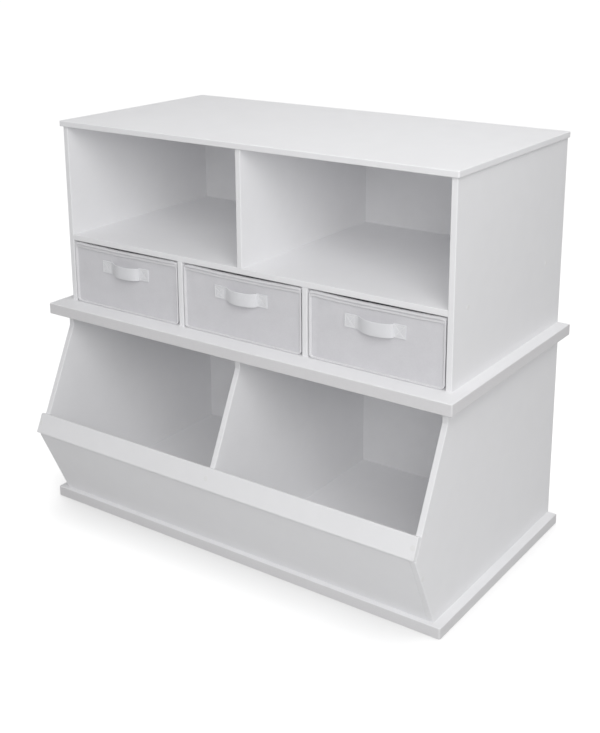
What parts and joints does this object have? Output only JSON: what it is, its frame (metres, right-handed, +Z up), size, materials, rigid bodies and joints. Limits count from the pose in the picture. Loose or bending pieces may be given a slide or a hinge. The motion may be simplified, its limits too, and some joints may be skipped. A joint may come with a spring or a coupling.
{
  "type": "storage cubby",
  "caption": "Stackable white storage cubby for a child's room: open shelf unit with pull-out fabric bins on an angled toy cubby with a front rail.",
  "frame": {"origin": "centre of the footprint's bounding box on the floor, under the base board", "axes": "+X to the right seen from the front, -Y towards the front, +Z up"},
  "size_m": [0.978, 0.5838, 0.843],
  "materials": {
    "painted_board": "white satin paint",
    "back_panel": "white painted hardboard",
    "screw_cap": "white matte",
    "steel_screw": "zinc plated",
    "dowel_wood": "raw beech",
    "bin_fabric": "plain non-woven polyester",
    "bin_lining": "fabric covered board",
    "bin_tape": "white binding tape",
    "bin_webbing": "white cotton webbing",
    "stiffener_board": "grey board"
  },
  "bodies": {
    "lower_unit": {"lower_base_board": "painted_board", "lower_side_left": "painted_board", "lower_side_right": "painted_board", "lower_divider": "painted_board", "lower_top_panel": "painted_board", "lower_kick_panel": "painted_board", "lower_front_rail": "painted_board", "lower_back_panel": "back_panel", "lower_base_screws": "steel_screw", "rail_screws": "steel_screw", "rail_screw_caps": "screw_cap", "kick_screws": "steel_screw", "kick_screw_caps": "screw_cap", "lower_dowels": "dowel_wood"},
    "upper_unit": {"upper_base_slab": "painted_board", "upper_side_left": "painted_board", "upper_side_right": "painted_board", "upper_top_panel": "painted_board", "upper_shelf": "painted_board", "upper_divider": "painted_board", "bin_divider_left": "painted_board", "bin_divider_right": "painted_board", "upper_back_panel": "back_panel", "upper_slab_screws": "steel_screw", "shelf_screws": "steel_screw", "shelf_screw_caps": "screw_cap", "upper_dowels": "dowel_wood", "stacking_pegs": "dowel_wood"},
    "bin_left": {"bin_left_fabric": "bin_fabric", "bin_left_wall_boards": "stiffener_board", "bin_left_floor_board": "bin_lining", "bin_left_binding": "bin_tape", "bin_left_handle": "bin_webbing"},
    "bin_centre": {"bin_centre_fabric": "bin_fabric", "bin_centre_wall_boards": "stiffener_board", "bin_centre_floor_board": "bin_lining", "bin_centre_binding": "bin_tape", "bin_centre_handle": "bin_webbing"},
    "bin_right": {"bin_right_fabric": "bin_fabric", "bin_right_wall_boards": "stiffener_board", "bin_right_floor_board": "bin_lining", "bin_right_binding": "bin_tape", "bin_right_handle": "bin_webbing"}
  },
  "joints": [
    {"name": "upper_lift", "type": "slide", "parent": "lower_unit", "child": "upper_unit", "axis": [0, 0, 1], "range_m": [0, 0.3]},
    {"name": "bin_left_slide", "type": "slide", "parent": "upper_unit", "child": "bin_left", "axis": [0, -1, 0], "range_m": [0, 0.36]},
    {"name": "bin_centre_slide", "type": "slide", "parent": "upper_unit", "child": "bin_centre", "axis": [0, -1, 0], "range_m": [0, 0.36]},
    {"name": "bin_right_slide", "type": "slide", "parent": "upper_unit", "child": "bin_right", "axis": [0, -1, 0], "range_m": [0, 0.36]}
  ]
}
